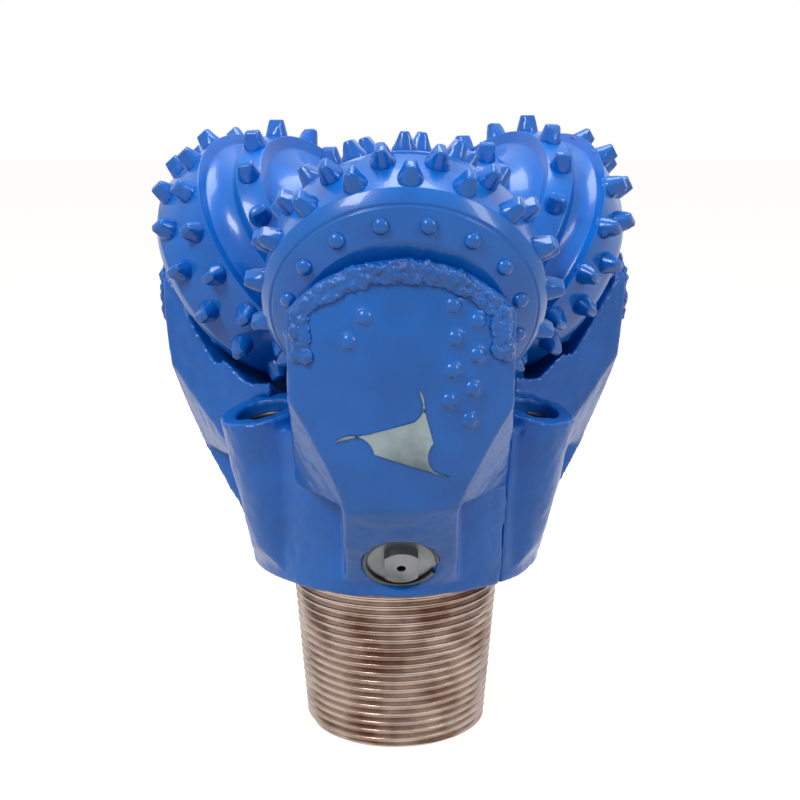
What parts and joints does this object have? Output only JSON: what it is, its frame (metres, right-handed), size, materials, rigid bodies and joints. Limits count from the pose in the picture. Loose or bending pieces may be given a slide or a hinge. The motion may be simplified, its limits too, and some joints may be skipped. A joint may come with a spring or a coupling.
{
  "type": "tricone rock bit",
  "caption": "Rotary drill bit with toothed rolling cones on a forged body, sealed bearings and a tapered threaded pin; it stands on the pin with the cones at the top.",
  "frame": {"origin": "on the bit's axis, at the centre of the pin's end face", "axes": "+Z along the bit's axis from the pin to the cones, -Y towards leg 1"},
  "size_m": [0.3452, 0.3326, 0.4433],
  "materials": {
    "blue_paint": "semi gloss blue enamel over forged and machined steel",
    "blue_paint_gloss": "gloss blue enamel over turned steel",
    "painted_carbide": "gloss blue enamel over carbide",
    "hard_metal": "rough weld bead under blue enamel",
    "turned_steel": "turned, bare, lightly oiled",
    "tungsten_carbide": "sintered and ground",
    "bright_steel": "zinc plated",
    "spring_steel": "oiled",
    "bearing_steel": "ground",
    "bronze": "turned",
    "rubber": "matt",
    "brushed_plate": "brushed, bare"
  },
  "bodies": {
    "bit_body": {"leg_1": "blue_paint", "leg_buttons_1": "painted_carbide", "ball_plug_1": "blue_paint", "hard_metal_bead_1": "hard_metal", "nozzle_1": "tungsten_carbide", "nozzle_seal_1": "rubber", "nozzle_retainer_1": "spring_steel", "reservoir_cup_1": "bearing_steel", "diaphragm_1": "rubber", "reservoir_cap_1": "bright_steel", "cap_snap_ring_1": "spring_steel", "seal_ring_1": "rubber", "leg_2": "blue_paint", "leg_buttons_2": "painted_carbide", "ball_plug_2": "blue_paint", "hard_metal_bead_2": "hard_metal", "nozzle_2": "tungsten_carbide", "nozzle_seal_2": "rubber", "nozzle_retainer_2": "spring_steel", "reservoir_cup_2": "bearing_steel", "diaphragm_2": "rubber", "reservoir_cap_2": "bright_steel", "cap_snap_ring_2": "spring_steel", "seal_ring_2": "rubber", "leg_3": "blue_paint", "leg_buttons_3": "painted_carbide", "ball_plug_3": "blue_paint", "hard_metal_bead_3": "hard_metal", "nozzle_3": "tungsten_carbide", "nozzle_seal_3": "rubber", "nozzle_retainer_3": "spring_steel", "reservoir_cup_3": "bearing_steel", "diaphragm_3": "rubber", "reservoir_cap_3": "bright_steel", "cap_snap_ring_3": "spring_steel", "seal_ring_3": "rubber", "pin": "turned_steel", "face_plate": "brushed_plate"},
    "cone_body_1": {"cone_1": "blue_paint_gloss", "gauge_inserts_1": "painted_carbide", "inner_inserts_1": "painted_carbide", "heel_inserts_1": "painted_carbide", "pilot_bushing_1": "bronze"},
    "rolling_set_1": {"rollers_1": "bearing_steel", "balls_1": "bearing_steel"},
    "cone_body_2": {"cone_2": "blue_paint_gloss", "gauge_inserts_2": "painted_carbide", "inner_inserts_2": "painted_carbide", "heel_inserts_2": "painted_carbide", "pilot_bushing_2": "bronze"},
    "rolling_set_2": {"rollers_2": "bearing_steel", "balls_2": "bearing_steel"},
    "cone_body_3": {"cone_3": "blue_paint_gloss", "gauge_inserts_3": "painted_carbide", "inner_inserts_3": "painted_carbide", "heel_inserts_3": "painted_carbide", "pilot_bushing_3": "bronze"},
    "rolling_set_3": {"rollers_3": "bearing_steel", "balls_3": "bearing_steel"}
  },
  "joints": [
    {"name": "cone_spin_1", "type": "hinge", "parent": "bit_body", "child": "cone_body_1", "pos_m": [0.006, -0.08776, 0.34835], "axis": [0, -0.8358, -0.549], "continuous": true},
    {"name": "rolling_spin_1", "type": "hinge", "parent": "bit_body", "child": "rolling_set_1", "pos_m": [0.006, -0.08776, 0.34835], "axis": [0, -0.8358, -0.549], "continuous": true},
    {"name": "cone_spin_2", "type": "hinge", "parent": "bit_body", "child": "cone_body_2", "pos_m": [0.073, 0.04908, 0.34835], "axis": [0.7238, 0.4179, -0.549], "continuous": true},
    {"name": "rolling_spin_2", "type": "hinge", "parent": "bit_body", "child": "rolling_set_2", "pos_m": [0.073, 0.04908, 0.34835], "axis": [0.7238, 0.4179, -0.549], "continuous": true},
    {"name": "cone_spin_3", "type": "hinge", "parent": "bit_body", "child": "cone_body_3", "pos_m": [-0.079, 0.03868, 0.34835], "axis": [-0.7238, 0.4179, -0.549], "continuous": true},
    {"name": "rolling_spin_3", "type": "hinge", "parent": "bit_body", "child": "rolling_set_3", "pos_m": [-0.079, 0.03868, 0.34835], "axis": [-0.7238, 0.4179, -0.549], "continuous": true}
  ],
  "couplings": [
    {"joint": "rolling_spin_1", "follows": "cone_spin_1", "ratio": 0.5625},
    {"joint": "rolling_spin_2", "follows": "cone_spin_2", "ratio": 0.5625},
    {"joint": "rolling_spin_3", "follows": "cone_spin_3", "ratio": 0.5625}
  ]
}
